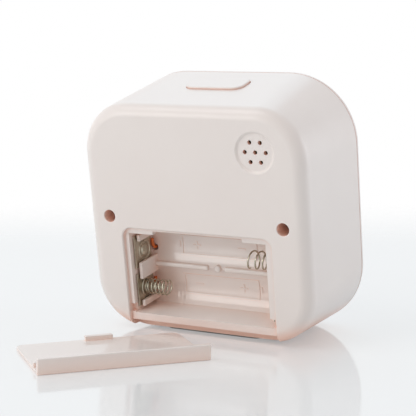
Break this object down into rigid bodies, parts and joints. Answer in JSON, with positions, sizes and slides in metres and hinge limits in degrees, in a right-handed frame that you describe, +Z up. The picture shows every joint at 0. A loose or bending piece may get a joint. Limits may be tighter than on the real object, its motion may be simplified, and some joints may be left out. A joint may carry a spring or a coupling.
{
  "type": "digital kitchen timer",
  "caption": "Small tabletop kitchen timer that leans back on a flat base, with a battery bay in its back, a press bar on top and its battery door lying beside it.",
  "frame": {"origin": "middle of the base pad's lower face, which stands on the table", "axes": "+Z up, display towards -Y, battery side towards +Y"},
  "size_m": [0.0923, 0.1111, 0.0923],
  "materials": {
    "pale_pink_plastic": "smooth satin gloss",
    "white_plastic": "satin",
    "clear_window": "clear gloss",
    "display_glass": "grey-green display",
    "nickel": "dull nickel",
    "steel": "plated steel",
    "brass": "plain",
    "ceramic": "matt",
    "board": "green lacquer",
    "black_resin": "glossy",
    "black_plastic": "matt",
    "grey_rubber": "matt",
    "orange_lead": "smooth",
    "black_lead": "smooth"
  },
  "bodies": {
    "case": {"rear_housing": "pale_pink_plastic", "front_panel": "pale_pink_plastic", "display_window": "clear_window", "base_pad": "grey_rubber", "lcd_glass": "display_glass", "lcd_holder": "white_plastic", "contact_strip": "grey_rubber", "main_board": "board", "chip_cover": "black_resin", "crystal": "nickel", "capacitor": "black_plastic", "board_screw_1": "steel", "board_screw_2": "steel", "board_screw_3": "steel", "board_screw_4": "steel", "key_switch_left": "steel", "key_switch_middle": "steel", "key_switch_right": "steel", "top_board": "board", "top_switch": "steel", "top_board_screw_left": "steel", "top_board_screw_right": "steel", "sounder_plate": "brass", "sounder_ceramic": "ceramic", "housing_screw_left": "steel", "housing_screw_right": "steel", "contact_positive": "nickel", "contact_negative": "nickel", "contact_bridge": "nickel", "spring_negative": "nickel", "spring_bridge": "nickel", "lead_positive": "orange_lead", "lead_negative": "orange_lead", "lead_sounder_inner": "orange_lead", "lead_sounder_outer": "black_lead", "lead_switch_left": "black_lead", "lead_switch_right": "black_lead"},
    "left_key": {"key_left": "white_plastic", "key_plunger_left": "black_plastic"},
    "middle_key": {"key_middle": "white_plastic", "key_plunger_middle": "black_plastic"},
    "right_key": {"key_right": "white_plastic", "key_plunger_right": "black_plastic"},
    "top_button": {"top_bar": "pale_pink_plastic", "top_plunger": "black_plastic"},
    "door": {"battery_door": "pale_pink_plastic"}
  },
  "joints": [
    {"name": "left_key_press", "type": "slide", "parent": "case", "child": "left_key", "axis": [0, 0.989, -0.1478], "range_m": [0, 0.0005], "stiffness_N_per_m": 400, "springref_m": -0.002},
    {"name": "middle_key_press", "type": "slide", "parent": "case", "child": "middle_key", "axis": [0, 0.989, -0.1478], "range_m": [0, 0.0005], "stiffness_N_per_m": 400, "springref_m": -0.002},
    {"name": "right_key_press", "type": "slide", "parent": "case", "child": "right_key", "axis": [0, 0.989, -0.1478], "range_m": [0, 0.0005], "stiffness_N_per_m": 400, "springref_m": -0.002},
    {"name": "top_bar_press", "type": "slide", "parent": "case", "child": "top_button", "axis": [0, -0.268, -0.9634], "range_m": [0, 0.0006], "stiffness_N_per_m": 400, "springref_m": -0.002},
    {"name": "door_away", "type": "slide", "parent": "case", "child": "door", "axis": [-0.7278, 0.6858, 0], "range_m": [0, 0.06]}
  ]
}
